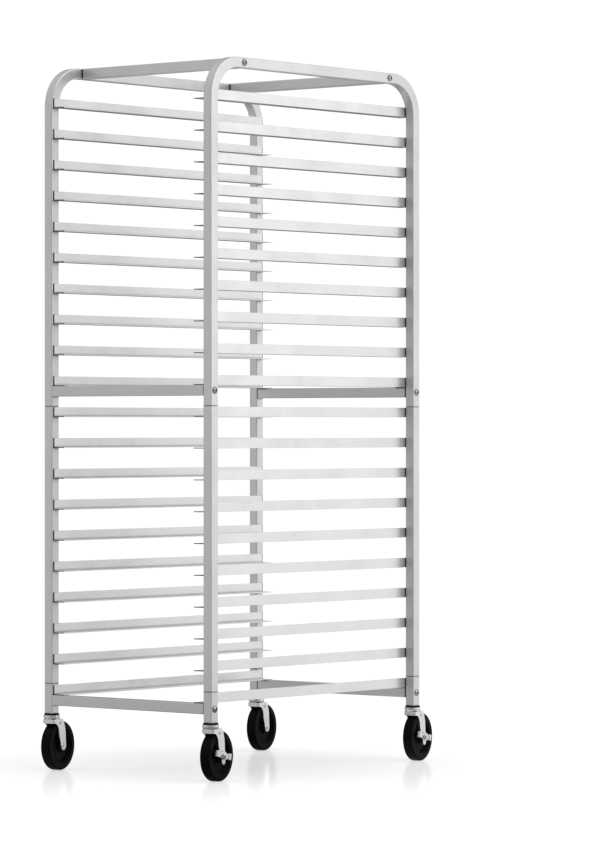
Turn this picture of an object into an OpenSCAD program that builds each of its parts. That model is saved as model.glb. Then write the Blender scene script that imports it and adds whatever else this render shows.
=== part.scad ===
// Sheet pan rack: two bent-tube side frames on four swivel casters, twenty tiers of angle runners.
// Frame: X runs left to right, Y front to rear, Z up. Z = 0 is the floor. Sizes in mm.

/* [Frame] */
// Outside width over the side frames
frame_width = 535; // [510:1:620]
// Outside depth over the front and rear posts
frame_depth = 800; // [660:1:840]
// Side of the square tube
tube = 25.4; // [22:0.1:32]
// Wall of the square tube
wall = 2; // [1.5:0.1:2.6]
// Corner radius of the square tube
tube_corner = 2.4; // [1:0.1:4]
// Outer radius of the bends at the top of the side frames
bend_radius = 100; // [70:1:140]
// Height of the tube's lower end above the floor
leg_bottom = 140; // [135:1:180]

/* [Tiers] */
// Distance from one tier to the next
tier_pitch = 75; // [60:0.1:90]
// Number of tiers
tier_count = 20; // [20:1:20]
// Height of the lowest tier's underside above the tube's lower end
lowest_tier = 45; // [40:1:60]
// Height of the frame's top above the highest tier's underside
headroom = 103; // [90:1:160]
// Width of the ledge that carries a pan
ledge_width = 34; // [24:1:40]
// Height of the runner's upright flange
flange_height = 24; // [16:1:30]
// Thickness of the runner's metal
runner_metal = 2; // [1.5:0.1:3]
// How far the runners' ends stand back from the faces of the posts
runner_inset = 5; // [0:1:20]

/* [Joins] */
// Depth of the middle seam below the underside of tier 10
middle_seam_drop = 49; // [40:1:60]
// Height of the lower seam above the underside of the lowest tier
lower_seam_rise = 28; // [26:1:36]
// Width of the groove that shows at each seam
seam_groove = 0.6; // [0.3:0.1:1]
// Length of the spigot at each seam
spigot_length = 22; // [12:1:24]
// Distance from the front face to the middle of a top crossbar
top_bar_inset = 121; // [110:1:200]
// Length of the threaded block in each end of a crossbar
end_block = 18; // [12:1:30]
// Diameter of the bolts' shanks
bolt_diameter = 8; // [6:0.5:10]
// Diameter of the bolts' heads
bolt_head_diameter = 17; // [14:0.5:20]
// Height of the bolts' heads
bolt_head_height = 4.5; // [3:0.5:6]

/* [Casters] */
// Diameter of the wheels
wheel_diameter = 120; // [100:1:125]
// Width of the tyres
tyre_width = 26; // [22:1:32]
// Thickness of the tyres
tyre_thickness = 15; // [8:1:20]
// Distance from the swivel axis to the wheel's axle
trail = 28; // [24:1:34]
// Gap between the tyre and each leg of the fork
wheel_gap = 1; // [0.8:0.1:3]
// Thickness of the fork's metal
fork_metal = 3; // [2.5:0.5:4]
// Height of the fork's crown with its skirt
skirt_height = 10; // [8:0.5:14]
// Corner radius of the fork's crown
crown_corner = 5; // [2:0.5:8]
// Diameter of the swivel raceway
raceway_diameter = 40; // [38:1:48]
// Diameter of the axles
axle_diameter = 10; // [8:1:10]
// Thickness of the brake levers
lever_metal = 3; // [2:0.5:4]
// How far the casters are turned from trailing straight to the rear, in degrees
caster_turn = 11; // [0:1:30]
// Radial clearance of the turning parts
running_clearance = 0.05; // [0.02:0.01:0.1]

/* [Hidden] */
$fn = 72;
wheel_radius = wheel_diameter / 2;
raceway_radius = raceway_diameter / 2;
post_x = (frame_width - tube) / 2;
post_half_y = (frame_depth - tube) / 2;
// The middle of the side frames, placed so that the whole rack is centred on the origin.
middle_x = 1;
middle_y = -27.5;
inner_x = frame_width / 2 - tube;
lowest_z = leg_bottom + lowest_tier;
tenth_z = lowest_z + 10 * tier_pitch;
top_z = lowest_z + (tier_count - 1) * tier_pitch + headroom;
middle_seam = tenth_z - middle_seam_drop;
lower_seam = lowest_z + lower_seam_rise;
top_bar_z = top_z - tube / 2;
middle_bar_z = tenth_z - tube / 2;
bottom_bar_z = lowest_z - tube / 2;
top_bar_y = frame_depth / 2 - top_bar_inset;
bolt_radius = bolt_diameter / 2;
axle_radius = axle_diameter / 2;
socket_radius = 3.5;
head_edge = 1;
head_dome = bolt_head_height - head_edge;
head_sphere = (pow(bolt_head_diameter / 2, 2) + pow(head_dome, 2)) / (2 * head_dome);
// Heights in the caster, from the floor up.
crown_bottom = wheel_diameter + 2.5;
crown_top = crown_bottom + fork_metal;
lower_race_top = crown_top + 4;
upper_race_bottom = lower_race_top + 0.5;
ring_bottom = leg_bottom - 4.5;
pin_radius = 8;
ring_radius = 18;
leg_inner_x = tyre_width / 2 + wheel_gap;
leg_outer_x = leg_inner_x + fork_metal;
hub_half = leg_inner_x - 0.5;
// Reach of the crown in front of the swivel axis and behind it.
crown_front = 16;
crown_rear = 28;
nut_height = 5;
tip_radius = 11;
lever_gap = 1;
brake_nut_gap = lever_gap + lever_metal + 0.5;
aluminium = [0.78, 0.79, 0.8];
zinc = [0.86, 0.87, 0.88];
rubber = [0.06, 0.06, 0.065];
hub_grey = [0.1, 0.1, 0.11];

function post_y(end) = middle_y + end * post_half_y;
function tier_z(tier) = lowest_z + (tier_count - tier) * tier_pitch;
function corner_points(width, depth, radius, steps) = [
    for (quarter = [0:3])
        for (step = [0:steps])
            let (turn = 90 * (quarter + step / steps))
            [
                (width / 2 - radius) * (quarter == 0 || quarter == 3 ? 1 : -1) + radius * cos(turn),
                (depth / 2 - radius) * (quarter < 2 ? 1 : -1) + radius * sin(turn)
            ]
];

// ---- Shared shapes ----

// Cross-section of the square tube.
module tube_section() {
    difference() {
        polygon(corner_points(tube, tube, tube_corner, 4));
        square(tube - 2 * wall, center = true);
    }
}

// Upright tube from one height to another, on its own axis.
module upright(bottom, top) {
    translate([0, 0, bottom])
        linear_extrude(top - bottom)
            tube_section();
}

// Reduced tube end that plugs into the tube above it.
module spigot(bottom) {
    translate([0, 0, bottom - 6])
        linear_extrude(spigot_length + 6)
            difference() {
                square(tube - 2 * wall, center = true);
                square(tube - 4 * wall, center = true);
            }
}

// Bolt hole through both walls of a tube, along X.
module cross_hole(y, z) {
    translate([0, y, z])
        rotate([0, 90, 0])
            cylinder(r = bolt_radius + running_clearance, h = 2 * tube, center = true);
}

// ---- Frame ----

// Bend at the top of a side frame: end is -1 at the front, 1 at the rear.
module top_bend(end) {
    translate([0, end * (frame_depth / 2 - bend_radius), top_z - bend_radius])
        rotate([90, 0, end * 90])
            rotate_extrude(angle = 90)
                translate([bend_radius - tube / 2, 0])
                    tube_section();
}

// Inverted U of square tube: two posts, two bends and the rail that joins them.
module side_frame(side) {
    color(aluminium)
        translate([middle_x + side * post_x, middle_y, 0])
            difference() {
                union() {
                    for (end = [-1, 1]) {
                        translate([0, end * post_half_y, 0])
                            upright(middle_seam, top_z - bend_radius);
                        top_bend(end);
                    }
                    translate([0, frame_depth / 2 - bend_radius, top_bar_z])
                        rotate([90, 0, 0])
                            linear_extrude(frame_depth - 2 * bend_radius)
                                tube_section();
                }
                for (end = [-1, 1]) {
                    cross_hole(end * post_half_y, middle_bar_z);
                    cross_hole(end * top_bar_y, top_bar_z);
                }
            }
}

// Post from the lower seam to the middle seam, with a spigot into the side frame.
module lower_post(side, end) {
    color(aluminium)
        translate([middle_x + side * post_x, post_y(end), 0]) {
            upright(lower_seam, middle_seam - seam_groove);
            spigot(middle_seam);
        }
}

// Short tube under the post: it holds the bottom crossbar and the caster's stem.
module leg(side, end) {
    color(aluminium)
        translate([middle_x + side * post_x, post_y(end), 0])
            difference() {
                union() {
                    upright(leg_bottom, lower_seam - seam_groove);
                    spigot(lower_seam);
                }
                cross_hole(0, bottom_bar_z);
            }
}

// Square tube between the side frames, with a bored block in each end.
module crossbar(y, z) {
    color(aluminium)
        translate([middle_x, y, z])
            difference() {
                union() {
                    rotate([0, 90, 0])
                        linear_extrude(2 * inner_x, center = true)
                            tube_section();
                    for (side = [-1, 1])
                        translate([side * (inner_x - end_block / 2), 0, 0])
                            cube([end_block, tube - 2 * wall, tube - 2 * wall], center = true);
                }
                for (side = [-1, 1])
                    translate([side * inner_x, 0, 0])
                        rotate([0, 90, 0])
                            cylinder(r = bolt_radius, h = 2 * end_block + 2, center = true);
            }
}

// Angle with its ledge at the bottom, pointing into the rack.
module runner(side, z) {
    translate([middle_x + side * inner_x, middle_y + frame_depth / 2 - runner_inset, z])
        rotate([90, 0, 0])
            linear_extrude(frame_depth - 2 * runner_inset)
                polygon([
                    [0, 0],
                    [-side * ledge_width, 0],
                    [-side * ledge_width, runner_metal],
                    [-side * runner_metal, runner_metal],
                    [-side * runner_metal, flange_height],
                    [0, flange_height]
                ]);
}

module tier(number) {
    color(aluminium)
        for (side = [-1, 1])
            runner(side, tier_z(number));
}

// Button-head bolt with a hexagon socket: the head stands on the outer face, the shank runs inwards.
module bolt(side, y, z) {
    translate([middle_x + side * frame_width / 2, y, z])
        rotate([0, side * 90, 0])
            difference() {
                union() {
                    intersection() {
                        cylinder(d = bolt_head_diameter, h = bolt_head_height);
                        translate([0, 0, bolt_head_height - head_sphere])
                            sphere(r = head_sphere);
                    }
                    translate([0, 0, 2 - tube - end_block])
                        cylinder(r = bolt_radius, h = tube + end_block);
                }
                translate([0, 0, bolt_head_height - 2.5])
                    cylinder(r = socket_radius, h = 5, $fn = 6);
            }
}

// ---- Casters: drawn about the swivel axis, with the wheel trailing to the rear ----

module at_caster(side, end) {
    translate([middle_x + side * post_x, post_y(end), 0])
        rotate([0, 0, caster_turn])
            children();
}

module at_axle() {
    translate([0, trail, wheel_radius])
        rotate([0, 90, 0])
            children();
}

// Plug in the leg, upper raceway and kingpin in one piece, with the kingpin's rivet head below.
module stem(side, end) {
    color(zinc)
        translate([middle_x + side * post_x, post_y(end), 0])
            difference() {
                union() {
                    translate([0, 0, leg_bottom + 31])
                        cube([tube - 2 * wall, tube - 2 * wall, 62], center = true);
                    translate([0, 0, upper_race_bottom])
                        cylinder(r = raceway_radius, h = ring_bottom - upper_race_bottom);
                    translate([0, 0, ring_bottom])
                        cylinder(r = 9, h = leg_bottom - ring_bottom);
                    translate([0, 0, crown_bottom - 1])
                        cylinder(r = pin_radius, h = ring_bottom - crown_bottom + 1);
                    translate([0, 0, crown_bottom - 3.5])
                        cylinder(r = pin_radius + 4, h = 3);
                }
                cross_hole(0, bottom_bar_z);
            }
}

// Dark ring between the raceway and the leg's lower end.
module stem_ring() {
    translate([0, 0, ring_bottom])
        difference() {
            cylinder(r = ring_radius, h = leg_bottom - ring_bottom);
            translate([0, 0, -1])
                cylinder(r = 9, h = leg_bottom - ring_bottom + 2);
        }
}

// Outline of a fork leg from the side: it curves down from the skirt to a round tip.
function fork_outline() =
    let (curve_bottom = wheel_radius + 28, curve_top = crown_top - skirt_height)
    [
        for (step = [0:10])
            let (turn = 9 * step)
            [
                crown_corner - crown_front + (24 - crown_corner) * sin(turn),
                curve_bottom + (curve_top - curve_bottom) * cos(turn)
            ],
        for (step = [0:12])
            let (turn = 180 + 15 * step)
            [trail + tip_radius * cos(turn), wheel_radius + tip_radius * sin(turn)],
        [trail + 8, crown_top - 26],
        [crown_rear, crown_top - 3],
        [crown_rear - crown_corner, crown_top],
        [crown_corner - crown_front, crown_top]
    ];

// Pressed crown of a fork: a plate with a skirt at the front and sides, open to the rear over the wheel.
module fork_crown() {
    length = crown_front + crown_rear;
    difference() {
        translate([0, length / 2 - crown_front, crown_top - skirt_height])
            linear_extrude(skirt_height)
                polygon(corner_points(2 * leg_outer_x, length, crown_corner, 6));
        translate([-leg_inner_x, fork_metal - crown_front, crown_bottom - skirt_height])
            cube([2 * leg_inner_x, length, skirt_height]);
    }
}

// Leg of a fork: side is -1 for the left leg, 1 for the right; a hollow rivet shows on its outer face.
module fork_leg(side) {
    translate([side * (leg_outer_x - fork_metal / 2), 0, 0])
        rotate([90, 0, 90])
            linear_extrude(fork_metal, center = true)
                polygon(fork_outline());
    translate([side * (leg_outer_x - 1), crown_rear / 2, crown_bottom - 7])
        rotate([0, side * 90, 0])
            difference() {
                cylinder(r = 4, h = 2.2);
                cylinder(r = 2, h = 3);
            }
}

// Pressed fork: crown, lower raceway and two tapered legs.
module fork(side, end) {
    color(zinc)
        at_caster(side, end)
            difference() {
                union() {
                    fork_crown();
                    translate([0, 0, crown_top])
                        cylinder(r1 = raceway_radius - 3, r2 = raceway_radius, h = lower_race_top - crown_top);
                    fork_leg(-1);
                    fork_leg(1);
                }
                translate([0, 0, crown_bottom - 1])
                    cylinder(r = pin_radius + running_clearance, h = lower_race_top - crown_bottom + 2);
                at_axle()
                    cylinder(r = axle_radius, h = 4 * leg_outer_x, center = true);
            }
}

// Axle bolt with a low round head on the inner side and a nut on the outer side.
module axle(side, end, nut_gap) {
    color(zinc)
        at_caster(side, end)
            at_axle()
                scale([1, 1, side]) {
                    translate([0, 0, -leg_outer_x])
                        cylinder(r = axle_radius, h = 2 * leg_outer_x + nut_gap + nut_height + 2);
                    translate([0, 0, -leg_outer_x - 3])
                        cylinder(r1 = 5.5, r2 = 7, h = 3);
                    translate([0, 0, leg_outer_x + nut_gap])
                        cylinder(r = 8.5, h = nut_height, $fn = 6);
                }
}

// Wheel core: rim, web and boss, bored for the axle.
module hub(side, end) {
    color(hub_grey)
        at_caster(side, end)
            at_axle()
                rotate_extrude()
                    polygon([
                        [axle_radius + running_clearance, -hub_half],
                        [15, -hub_half],
                        [17, -7],
                        [wheel_radius - tyre_thickness - 7, -5],
                        [wheel_radius - tyre_thickness - 4, 2 - tyre_width / 2],
                        [wheel_radius - tyre_thickness, 2 - tyre_width / 2],
                        [wheel_radius - tyre_thickness, tyre_width / 2 - 2],
                        [wheel_radius - tyre_thickness - 4, tyre_width / 2 - 2],
                        [wheel_radius - tyre_thickness - 7, 5],
                        [17, 7],
                        [15, hub_half],
                        [axle_radius + running_clearance, hub_half]
                    ]);
}

// Solid tyre with rounded shoulders.
module tyre(side, end) {
    shoulder = 5;
    color(rubber)
        at_caster(side, end)
            at_axle()
                rotate_extrude($fn = 96) {
                    translate([wheel_radius - tyre_thickness, -tyre_width / 2])
                        square([tyre_thickness - shoulder, tyre_width]);
                    translate([wheel_radius - tyre_thickness, shoulder - tyre_width / 2])
                        square([tyre_thickness, tyre_width - 2 * shoulder]);
                    for (edge = [-1, 1])
                        translate([wheel_radius - shoulder, edge * (tyre_width / 2 - shoulder)])
                            circle(r = shoulder, $fn = 48);
                }
}

// Side brake lever: a boss that turns on the axle, with a lobe below and two ears with turned-out ends.
module brake_lever(side, end) {
    ear_reach = lever_metal + 5;
    color(zinc)
        at_caster(side, end)
            translate([leg_outer_x + lever_gap, trail, wheel_radius])
                difference() {
                    rotate([-12, 0, 0])
                        union() {
                            rotate([0, 90, 0])
                                cylinder(r = 12, h = lever_metal);
                            translate([0, 0, -12])
                                rotate([0, 90, 0])
                                    cylinder(r = 8, h = lever_metal);
                            translate([0, -38, -5])
                                cube([lever_metal, 60, 12]);
                            translate([0, -40, -6])
                                cube([ear_reach, 13, 15]);
                            translate([0, 15, -6])
                                cube([ear_reach, 11, 15]);
                        }
                    translate([-1, 0, 0])
                        rotate([0, 90, 0])
                            cylinder(r = axle_radius + running_clearance, h = lever_metal + 2);
                }
}

// ---- Sub-parts ----

module side_frame_left() { side_frame(-1); }
module side_frame_right() { side_frame(1); }
module lower_post_front_left() { lower_post(-1, -1); }
module lower_post_front_right() { lower_post(1, -1); }
module lower_post_rear_left() { lower_post(-1, 1); }
module lower_post_rear_right() { lower_post(1, 1); }
module leg_front_left() { leg(-1, -1); }
module leg_front_right() { leg(1, -1); }
module leg_rear_left() { leg(-1, 1); }
module leg_rear_right() { leg(1, 1); }
module top_crossbar_front() { crossbar(middle_y - top_bar_y, top_bar_z); }
module top_crossbar_rear() { crossbar(middle_y + top_bar_y, top_bar_z); }
module middle_crossbar_front() { crossbar(post_y(-1), middle_bar_z); }
module middle_crossbar_rear() { crossbar(post_y(1), middle_bar_z); }
module bottom_crossbar_front() { crossbar(post_y(-1), bottom_bar_z); }
module bottom_crossbar_rear() { crossbar(post_y(1), bottom_bar_z); }
module tier_01() { tier(1); }
module tier_02() { tier(2); }
module tier_03() { tier(3); }
module tier_04() { tier(4); }
module tier_05() { tier(5); }
module tier_06() { tier(6); }
module tier_07() { tier(7); }
module tier_08() { tier(8); }
module tier_09() { tier(9); }
module tier_10() { tier(10); }
module tier_11() { tier(11); }
module tier_12() { tier(12); }
module tier_13() { tier(13); }
module tier_14() { tier(14); }
module tier_15() { tier(15); }
module tier_16() { tier(16); }
module tier_17() { tier(17); }
module tier_18() { tier(18); }
module tier_19() { tier(19); }
module tier_20() { tier(20); }
module crossbar_bolts() {
    color(zinc)
        for (side = [-1, 1])
            for (end = [-1, 1]) {
                bolt(side, middle_y + end * top_bar_y, top_bar_z);
                bolt(side, post_y(end), middle_bar_z);
                bolt(side, post_y(end), bottom_bar_z);
            }
}
module stem_rings() {
    color(rubber)
        for (side = [-1, 1])
            for (end = [-1, 1])
                at_caster(side, end)
                    stem_ring();
}
module stem_front_left() { stem(-1, -1); }
module fork_front_left() { fork(-1, -1); }
module axle_front_left() { axle(-1, -1, 0); }
module hub_front_left() { hub(-1, -1); }
module tyre_front_left() { tyre(-1, -1); }
module stem_front_right() { stem(1, -1); }
module fork_front_right() { fork(1, -1); }
module axle_front_right() { axle(1, -1, brake_nut_gap); }
module hub_front_right() { hub(1, -1); }
module tyre_front_right() { tyre(1, -1); }
module stem_rear_left() { stem(-1, 1); }
module fork_rear_left() { fork(-1, 1); }
module axle_rear_left() { axle(-1, 1, 0); }
module hub_rear_left() { hub(-1, 1); }
module tyre_rear_left() { tyre(-1, 1); }
module stem_rear_right() { stem(1, 1); }
module fork_rear_right() { fork(1, 1); }
module axle_rear_right() { axle(1, 1, brake_nut_gap); }
module hub_rear_right() { hub(1, 1); }
module tyre_rear_right() { tyre(1, 1); }
module brake_lever_front_right() { brake_lever(1, -1); }
module brake_lever_rear_right() { brake_lever(1, 1); }

side_frame_left();
side_frame_right();
lower_post_front_left();
lower_post_front_right();
lower_post_rear_left();
lower_post_rear_right();
leg_front_left();
leg_front_right();
leg_rear_left();
leg_rear_right();
top_crossbar_front();
top_crossbar_rear();
middle_crossbar_front();
middle_crossbar_rear();
bottom_crossbar_front();
bottom_crossbar_rear();
tier_01();
tier_02();
tier_03();
tier_04();
tier_05();
tier_06();
tier_07();
tier_08();
tier_09();
tier_10();
tier_11();
tier_12();
tier_13();
tier_14();
tier_15();
tier_16();
tier_17();
tier_18();
tier_19();
tier_20();
crossbar_bolts();
stem_rings();
stem_front_left();
fork_front_left();
axle_front_left();
hub_front_left();
tyre_front_left();
stem_front_right();
fork_front_right();
axle_front_right();
hub_front_right();
tyre_front_right();
stem_rear_left();
fork_rear_left();
axle_rear_left();
hub_rear_left();
tyre_rear_left();
stem_rear_right();
fork_rear_right();
axle_rear_right();
hub_rear_right();
tyre_rear_right();
brake_lever_front_right();
brake_lever_rear_right();
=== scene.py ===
import math

import bmesh
import bpy
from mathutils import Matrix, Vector


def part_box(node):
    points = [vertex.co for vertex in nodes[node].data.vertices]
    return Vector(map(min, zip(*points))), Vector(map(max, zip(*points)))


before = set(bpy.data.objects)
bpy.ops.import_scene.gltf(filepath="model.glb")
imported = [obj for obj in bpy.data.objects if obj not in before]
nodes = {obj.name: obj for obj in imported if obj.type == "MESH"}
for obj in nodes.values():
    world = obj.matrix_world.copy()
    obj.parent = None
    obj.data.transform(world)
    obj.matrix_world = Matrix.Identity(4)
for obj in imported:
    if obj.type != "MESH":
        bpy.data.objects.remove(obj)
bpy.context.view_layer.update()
scene = bpy.context.scene

SIDES = ("left", "right")
ENDS = ("front", "rear")
CASTERS = [f"{end}_{side}" for side in SIDES for end in ENDS]
TIERS = [f"tier_{i:02d}" for i in range(1, 21)]

# Colours; the first three are the lighter and the darker tone of one metal.
TUBE = (0.83, 0.835, 0.845), (0.74, 0.745, 0.757)
# Painted shade: a darker copy of the tube's tones for the front middle and bottom crossbars.
FRONT_BAR_SHADED = (0.78, 0.785, 0.795), (0.7, 0.705, 0.715)
RUNNER = (0.96, 0.963, 0.97), (0.86, 0.863, 0.872)
ZINC = (0.96, 0.963, 0.967)
RACEWAY = (0.93, 0.935, 0.94)
BOLT = (0.42, 0.425, 0.43)
# Near black at the ends of bars: painted shade where the runners meet the posts, and the dark seam
# where the crossbars butt the rails.
END_BAND_BLACK = (0.025, 0.025, 0.026)
# Near black painted as shade into the plated parts' corners and gaps.
PLATE_SHADE = (0.02, 0.02, 0.022)
WHEEL_BLACK = (0.003, 0.003, 0.0033)
RING_BLACK = (0.01, 0.01, 0.011)
DUST = (0.16, 0.16, 0.165)

BEND_RADIUS = 0.1  # outer radius of the side frames' bends
BEND_BLEND = 0.08  # height over which the grain turns from the post to the rail
GRAIN_STRETCH = 0.02  # how fast brush marks change along the grain, against across it
BAR_END, RUNNER_END = 0.003, 0.002  # how far the near-black end bands reach along a bar and a runner

WELD_GAP = 0.00002  # points closer than this become one before edges are rounded
FLAT_ANGLE = math.radians(0.5)  # faces that meet within this angle are one flat face
SHARP_ANGLE = math.radians(35)  # edges sharper than this are rounded

CAMERA_PLACE = (6.491, -7.680, 0.837)
CAMERA_TURN = math.radians(39.38)  # to the left of looking along +Y
CAMERA_LENS = 171.7
AIM = (0, 0, 0.9)  # where the lamps point, near the middle of the rack
BRIGHT_WAY = (0.634, 0.773, 0)  # level direction from the rack to the bright end of the room
PLAIN_LEVEL = 1.05  # brightness of the floor and the room as the camera sees them
FLOOR_HALF_WIDTH = 60
# Distances from the rack's middle over which the floor changes.
# The rack's shade on the floor is a painted shadow, and so is the dimmer glow that the metal sees
# near the rack.
PAINTED_SHADOW_REACH = (0.25, 1.05)  # from the rack's shade to the lit floor
TO_ROOM = (0.8, 2.8)  # from the glossy floor to the plain glow
PAINTED_SHADE_REACH_FOR_METAL = (0.8, 2.3)  # from a dimmer glow near the rack to the full one, as the metal sees it


# ---- Shader nodes ----

def new_material(name, base, roughness, metallic=0.0):
    """Returns a material, its node tree and its shader."""
    mat = bpy.data.materials.new(name)
    mat.use_nodes = True
    tree = mat.node_tree
    shader = tree.nodes["Principled BSDF"]
    shader.inputs["Base Color"].default_value = (*base, 1)
    shader.inputs["Roughness"].default_value = roughness
    shader.inputs["Metallic"].default_value = metallic
    return mat, tree, shader


def add(tree, kind, **settings):
    """Adds a node; each setting is one of its properties or the value of one of its inputs."""
    node = tree.nodes.new(kind)
    for key, value in settings.items():
        if hasattr(node, key):
            setattr(node, key, value)
        else:
            node.inputs[key.replace("_", " ")].default_value = value
    return node


def object_coords(tree):
    """The rack's own frame, in metres."""
    return add(tree, "ShaderNodeTexCoord").outputs["Object"]


def noise(tree, coords, scale, detail, roughness, stretch=(1, 1, 1)):
    """Noise that is drawn out along an axis whose stretch is below 1."""
    mapping = add(tree, "ShaderNodeMapping")
    mapping.inputs["Scale"].default_value = stretch
    tree.links.new(coords, mapping.inputs["Vector"])
    made = add(tree, "ShaderNodeTexNoise", Scale=scale, Detail=detail, Roughness=roughness)
    tree.links.new(mapping.outputs["Vector"], made.inputs["Vector"])
    return made.outputs["Fac"]


def remap(tree, value, low, high, start=0.0, end=1.0):
    """Gives low where the value is at start, high where it is at end, and even steps between."""
    made = add(tree, "ShaderNodeMapRange")
    for socket, number in zip(("From Min", "From Max", "To Min", "To Max"), (start, end, low, high)):
        made.inputs[socket].default_value = number
    tree.links.new(value, made.inputs["Value"])
    return made.outputs["Result"]


def maths(tree, operation, *values):
    made = add(tree, "ShaderNodeMath", operation=operation)
    for socket, value in zip(made.inputs, values):
        if isinstance(value, (int, float)):
            socket.default_value = value
        else:
            tree.links.new(value, socket)
    return made.outputs["Value"]


def plus(tree, a, b):
    return maths(tree, "ADD", a, b)


def times(tree, a, b):
    return maths(tree, "MULTIPLY", a, b)


def distance_from(tree, value, centre):
    return maths(tree, "ABSOLUTE", maths(tree, "SUBTRACT", value, centre))


def xyz_of(tree, vector):
    made = add(tree, "ShaderNodeSeparateXYZ")
    tree.links.new(vector, made.inputs["Vector"])
    return made.outputs


def blend_values(tree, factor, first, second):
    made = add(tree, "ShaderNodeMix", data_type="FLOAT")
    factor_socket, first_socket, second_socket = made.inputs[0], made.inputs[2], made.inputs[3]
    tree.links.new(factor, factor_socket)
    tree.links.new(first, first_socket)
    tree.links.new(second, second_socket)
    return made.outputs[0]


def blend_colours(tree, factor, first, second):
    made = add(tree, "ShaderNodeMix", data_type="RGBA")
    tree.links.new(factor, made.inputs["Factor"])
    for socket, value in (("A", first), ("B", second)):
        target = next(s for s in made.inputs if s.name == socket and s.type == "RGBA")
        if isinstance(value, tuple):
            target.default_value = (*value, 1)
        else:
            tree.links.new(value, target)
    return next(s for s in made.outputs if s.type == "RGBA")


def scaled(colour, factor):
    return tuple(min(1, c * factor) for c in colour)


def wire_bump(tree, shader, height, strength, distance):
    bump = add(tree, "ShaderNodeBump", Strength=strength, Distance=distance)
    tree.links.new(height, bump.inputs["Height"])
    tree.links.new(bump.outputs["Normal"], shader.inputs["Normal"])


# ---- Materials ----

def painted_crevice_shade(tree, colour, shade_colour, reach, strength):
    """Painted shade: darkens a colour in corners and narrow gaps, by how little of the room each
    point sees.
    """
    open_sky = add(tree, "ShaderNodeAmbientOcclusion", samples=8, Distance=reach)
    shut = remap(tree, open_sky.outputs["AO"], 0, strength, 0.72, 0.4)
    return blend_colours(tree, shut, colour, shade_colour)


def brush_marks(tree, coords, along):
    """Fine grain that runs along one axis."""
    stretch = [GRAIN_STRETCH if axis == along else 1 for axis in "XYZ"]
    return noise(tree, coords, 900, 2.0, 0.6, stretch)


def seam_line(tree, colour, dark, height, seam):
    """A dirty line around a tube at one height."""
    line = remap(tree, distance_from(tree, height, seam), 1, 0, 0.0006, 0.0022)
    return blend_colours(tree, times(tree, line, 0.75), colour, scaled(dark, 0.25))


def dark_end_bands(tree, colour, place, centre, half, deep):
    """Near-black bands at both ends of a bar, painted shade where the runners meet the posts and the
    dark seam where the crossbars butt the rails: its middle, its half-length and how deep they
    reach.
    """
    end_mask = remap(tree, distance_from(tree, place, centre), 0, 1, half - deep, half - deep * 0.7)
    return blend_colours(tree, times(tree, end_mask, 0.97), colour, END_BAND_BLACK)


def painted_underside_shade(tree, colour, dark):
    """Painted shade: darkens the faces that look down."""
    facing = xyz_of(tree, add(tree, "ShaderNodeNewGeometry").outputs["True Normal"])
    below = remap(tree, facing["Z"], 0, 0.7, -0.6, -0.9)
    return blend_colours(tree, below, colour, scaled(dark, 0.14))


def brushed_metal(name, tones, roughness, along, seams=(), bend_z=None, ends=None, shade_below=False):
    """Satin aluminium with its grain along one axis; seams are heights with a dirty line.
    Above bend_z the grain turns to run along Y, as it does where a post bends into its rail.
    ends gives the middle, half-length and depth of the near-black end bands along the grain's axis."""
    base, dark = tones
    mat, tree, shader = new_material(name, base, roughness, metallic=1.0)
    coords = object_coords(tree)
    place = xyz_of(tree, coords)
    grain = brush_marks(tree, coords, along)
    if bend_z is not None:
        past_bend = remap(tree, place["Z"], 0, 1, bend_z, bend_z + BEND_BLEND)
        grain = blend_values(tree, past_bend, grain, brush_marks(tree, coords, "Y"))
    cloud = noise(tree, coords, 9, 4.0, 0.6)
    fine = noise(tree, coords, 160, 3.0, 0.6)
    scuffs = remap(tree, noise(tree, coords, 38, 5.0, 0.7), 0, 1, 0.62, 0.72)

    tone = plus(tree, times(tree, cloud, 0.65), times(tree, grain, 0.35))
    colour = blend_colours(tree, remap(tree, tone, 0, 1, 0.35, 0.65), dark, base)
    colour = blend_colours(tree, times(tree, scuffs, 0.25), colour, scaled(base, 1.08))
    for seam in seams:
        colour = seam_line(tree, colour, dark, place["Z"], seam)
    if ends:
        colour = dark_end_bands(tree, colour, place[along], *ends)
    # Painted shade on the faces that look down.
    if shade_below:
        colour = painted_underside_shade(tree, colour, dark)
    # Painted shade: corners and narrow gaps turn near black.
    colour = painted_crevice_shade(tree, colour, scaled(dark, 0.12), 0.012, 0.9)
    tree.links.new(colour, shader.inputs["Base Color"])

    clouded = remap(tree, cloud, roughness - 0.05, roughness + 0.06, 0.3, 0.7)
    scuffed = plus(tree, clouded, times(tree, scuffs, 0.08))
    rough = plus(tree, scuffed, remap(tree, grain, -0.04, 0.05, 0.3, 0.7))
    tree.links.new(rough, shader.inputs["Roughness"])
    wire_bump(tree, shader, plus(tree, grain, times(tree, fine, 0.5)), 0.12, 0.0004)
    return mat


def plated_metal(name, base, roughness, shade_reach=0.004):
    """Bright zinc plate over pressed steel: a soft orange-peel surface with duller patches."""
    mat, tree, shader = new_material(name, base, roughness, metallic=1.0)
    coords = object_coords(tree)
    peel = noise(tree, coords, 260, 2.0, 0.5)
    patches = noise(tree, coords, 55, 4.0, 0.6)
    colour = blend_colours(tree, remap(tree, patches, 0, 1, 0.35, 0.65), scaled(base, 0.93), base)
    # Painted shade: corners and narrow gaps turn near black.
    colour = painted_crevice_shade(tree, colour, PLATE_SHADE, shade_reach, 0.97)
    tree.links.new(colour, shader.inputs["Base Color"])
    rough = remap(tree, patches, roughness - 0.03, roughness + 0.06, 0.3, 0.7)
    tree.links.new(rough, shader.inputs["Roughness"])
    wire_bump(tree, shader, peel, 0.05, 0.0003)
    return mat


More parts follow.
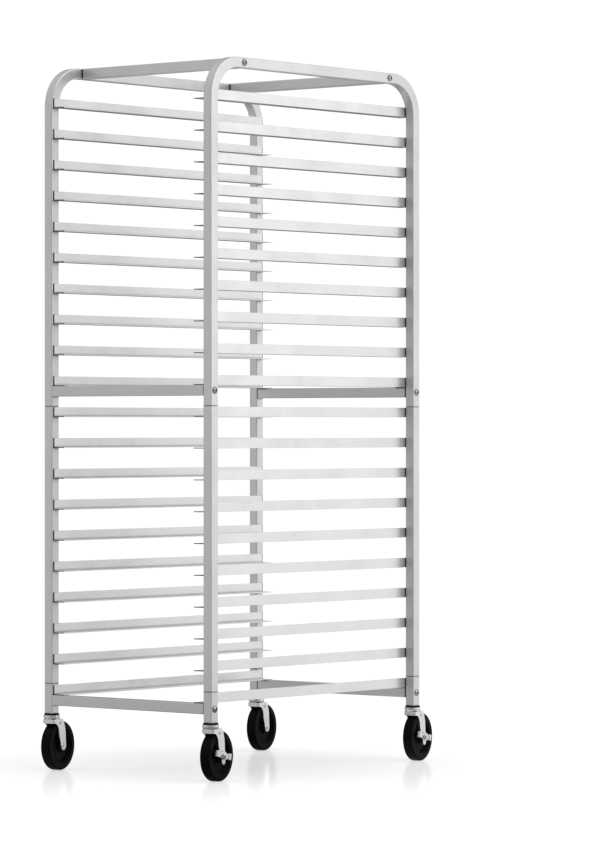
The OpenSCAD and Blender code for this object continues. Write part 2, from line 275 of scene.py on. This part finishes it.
def black_rubber(name, base, roughness, dust):
    """Moulded black rubber or polymer, a little dusty, with a fine pebbled surface."""
    mat, tree, shader = new_material(name, base, roughness)
    shader.inputs["Specular IOR Level"].default_value = 0.07
    coords = object_coords(tree)
    pebble = noise(tree, coords, 700, 3.0, 0.6)
    patches = noise(tree, coords, 40, 4.0, 0.65)
    worn = remap(tree, patches, 0, dust, 0.5, 0.8)
    tree.links.new(blend_colours(tree, worn, base, DUST), shader.inputs["Base Color"])
    rough = remap(tree, patches, roughness - 0.08, roughness + 0.1, 0.3, 0.7)
    tree.links.new(rough, shader.inputs["Roughness"])
    wire_bump(tree, shader, pebble, 0.25, 0.0004)
    return mat


# The seams are where the legs meet the lower posts, and those meet the side frames.
seams = [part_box(upper)[0].z for upper in ("lower_post_front_right", "side_frame_right")]
rail_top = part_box("side_frame_right")[1].z
bar_low, bar_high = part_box("top_crossbar_front")
bar_ends = ((bar_low.x + bar_high.x) / 2, (bar_high.x - bar_low.x) / 2, BAR_END)
run_low, run_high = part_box("tier_01")
run_ends = ((run_low.y + run_high.y) / 2, (run_high.y - run_low.y) / 2, RUNNER_END)

metal_up = brushed_metal("satin_tube_upright", TUBE, 0.36, "Z", seams=seams)
metal_frame = brushed_metal("satin_tube_side_frame", TUBE, 0.36, "Z",
                            seams=seams[1:], bend_z=rail_top - BEND_RADIUS)
metal_cross = brushed_metal("satin_tube_crossbar", TUBE, 0.36, "X", ends=bar_ends)
# Painted shade: the front middle and bottom crossbars get the darker copy of the tube's tones, and
# no dark end bands.
metal_cross_front_shaded = brushed_metal("satin_tube_crossbar_front_shaded", FRONT_BAR_SHADED, 0.36, "X")
metal_runner = brushed_metal("mill_runner", RUNNER, 0.33, "Y", ends=run_ends, shade_below=True)
zinc = plated_metal("bright_zinc", ZINC, 0.22)
chrome = plated_metal("bright_raceway", RACEWAY, 0.1)
# On the bolts the painted shade reaches farther, darkening each socket and a ring around each head.
bolt_zinc = plated_metal("bolt_zinc", BOLT, 0.18, shade_reach=0.012)
tyre_black = black_rubber("tyre_rubber", WHEEL_BLACK, 0.5, 0.02)
hub_black = black_rubber("hub_polymer", WHEEL_BLACK, 0.42, 0.02)
ring_black = black_rubber("ring_rubber", RING_BLACK, 0.5, 0.05)

# Beginnings of nodes' names, with their material; the first that fits is taken.
LOOKS = (
    ("side_frame", metal_frame),
    (("lower_post", "leg_"), metal_up),
    ("crossbar_bolts", bolt_zinc),
    (("middle_crossbar_front", "bottom_crossbar_front"), metal_cross_front_shaded),
    (("top_crossbar", "middle_crossbar", "bottom_crossbar"), metal_cross),
    ("tier", metal_runner),
    ("tyre", tyre_black),
    ("hub", hub_black),
    ("stem_rings", ring_black),
    ("stem", chrome),
    (("fork", "axle", "brake_lever"), zinc),
)

for name, node in nodes.items():
    material = next(look for start, look in LOOKS if name.startswith(start))
    for slot in node.material_slots:
        slot.material = material


# ---- Softened edges ----

def soften(name, width, segments):
    """Rounds a CAD node's sharp edges, as the real metal's are."""
    o = nodes[name]
    weld = o.modifiers.new("weld", "WELD")
    weld.merge_threshold = WELD_GAP
    flat = o.modifiers.new("flat", "DECIMATE")
    flat.decimate_type = "DISSOLVE"
    flat.angle_limit = FLAT_ANGLE
    round_off = o.modifiers.new("round", "BEVEL")
    round_off.width = width
    round_off.segments = segments
    round_off.limit_method = "ANGLE"
    round_off.angle_limit = SHARP_ANGLE
    round_off.use_clamp_overlap = True


for name in TIERS:
    soften(name, width=0.0005, segments=2)
for caster in CASTERS:
    soften(f"fork_{caster}", width=0.0011, segments=3)
for end in ENDS:
    soften(f"brake_lever_{end}_right", width=0.0012, segments=3)

# ---- Camera, floor and light ----

camera = bpy.data.objects.new("camera", bpy.data.cameras.new("camera"))
scene.collection.objects.link(camera)
scene.camera = camera
camera.data.sensor_width = 36
camera.data.lens = CAMERA_LENS
camera.data.clip_end = 200
camera.location = CAMERA_PLACE
camera.rotation_euler = (math.radians(90), 0, CAMERA_TURN)


def room_level(tree, direction):
    """Brightness of the room by direction: bright to the rear right, two thirds as bright
    opposite, dim between."""
    facing = add(tree, "ShaderNodeVectorMath", operation="DOT_PRODUCT")
    tree.links.new(direction, facing.inputs[0])
    facing.inputs[1].default_value = BRIGHT_WAY
    along = facing.outputs["Value"]
    both_ends = times(tree, times(tree, along, along), 0.395)
    one_end = times(tree, along, 0.145)
    return plus(tree, plus(tree, one_end, both_ends), 0.3)


def seen_by_camera(tree):
    return add(tree, "ShaderNodeLightPath").outputs["Is Camera Ray"]


def floor_material():
    """A pale glossy floor near the rack, with a painted shadow under the rack, which fades outwards
    into an even glow.
    The metal sees only the glow, which has the room's own brightness in each direction, dimmed near
    the rack as painted shade."""
    mat, tree, shader = new_material("studio_floor", (0.95, 0.95, 0.95), 0.16)
    seen = seen_by_camera(tree)
    place = object_coords(tree)
    length = add(tree, "ShaderNodeVectorMath", operation="LENGTH")
    tree.links.new(place, length.inputs[0])
    far = length.outputs["Value"]
    way = add(tree, "ShaderNodeVectorMath", operation="NORMALIZE")
    tree.links.new(place, way.inputs[0])

    glow = add(tree, "ShaderNodeEmission")
    room = room_level(tree, way.outputs["Vector"])
    # Painted shade in reflections: the glow the metal sees is dimmer near the rack.
    for_metal_with_painted_shade = times(tree, room, remap(tree, far, 0.75, 1, *PAINTED_SHADE_REACH_FOR_METAL))
    glow_level = maths(tree, "MAXIMUM", for_metal_with_painted_shade, times(tree, seen, PLAIN_LEVEL))
    tree.links.new(glow_level, glow.inputs["Strength"])

    # Painted shadow: a weaker added glow near the rack darkens the floor under it.
    glow_with_painted_shadow = add(tree, "ShaderNodeEmission")
    tree.links.new(remap(tree, far, 0.42, 0.66, *PAINTED_SHADOW_REACH), glow_with_painted_shadow.inputs["Strength"])
    lit = add(tree, "ShaderNodeAddShader")
    tree.links.new(shader.outputs[0], lit.inputs[0])
    tree.links.new(glow_with_painted_shadow.outputs[0], lit.inputs[1])

    fade = remap(tree, far, 0.1, 1, *TO_ROOM)
    unseen = maths(tree, "SUBTRACT", 1, seen)
    mix = add(tree, "ShaderNodeMixShader")
    tree.links.new(maths(tree, "MAXIMUM", fade, unseen), mix.inputs[0])
    tree.links.new(lit.outputs[0], mix.inputs[1])
    tree.links.new(glow.outputs[0], mix.inputs[2])
    tree.links.new(mix.outputs[0], tree.nodes["Material Output"].inputs["Surface"])
    return mat


bm = bmesh.new()
bmesh.ops.create_grid(bm, x_segments=2, y_segments=2, size=FLOOR_HALF_WIDTH)
floor_mesh = bpy.data.meshes.new("studio_floor")
bm.to_mesh(floor_mesh)
bm.free()
floor = bpy.data.objects.new("studio_floor", floor_mesh)
floor.data.materials.append(floor_material())
scene.collection.objects.link(floor)

# The room: plain where the camera sees it, and brighter overhead for the metal.
world = bpy.data.worlds.new("studio")
scene.world = world
world.use_nodes = True
sky = world.node_tree
background = sky.nodes["Background"]
background.inputs["Color"].default_value = (1, 1, 1, 1)
sky_way = add(sky, "ShaderNodeTexCoord").outputs["Generated"]
upward = maths(sky, "MAXIMUM", xyz_of(sky, sky_way)["Z"], 0)
overhead = times(sky, maths(sky, "POWER", upward, 2), 0.5)
lighting = plus(sky, room_level(sky, sky_way), overhead)
level = maths(sky, "MAXIMUM", lighting, times(sky, seen_by_camera(sky), PLAIN_LEVEL))
sky.links.new(level, background.inputs["Strength"])


def softbox(name, place, size, watts):
    """A soft lamp that points at the middle of the rack."""
    light = bpy.data.lights.new(name, "AREA")
    light.shape = "RECTANGLE"
    light.size, light.size_y = size
    light.energy = watts
    o = bpy.data.objects.new(name, light)
    o.location = place
    o.rotation_euler = (Vector(AIM) - Vector(place)).to_track_quat("-Z", "Y").to_euler()
    scene.collection.objects.link(o)


softbox("key_right", (5.0, 1.5, 2.6), (3.0, 3.0), 40)
softbox("top", (0.5, -0.5, 5.0), (3.5, 3.5), 12)
scene.view_settings.view_transform = "Standard"
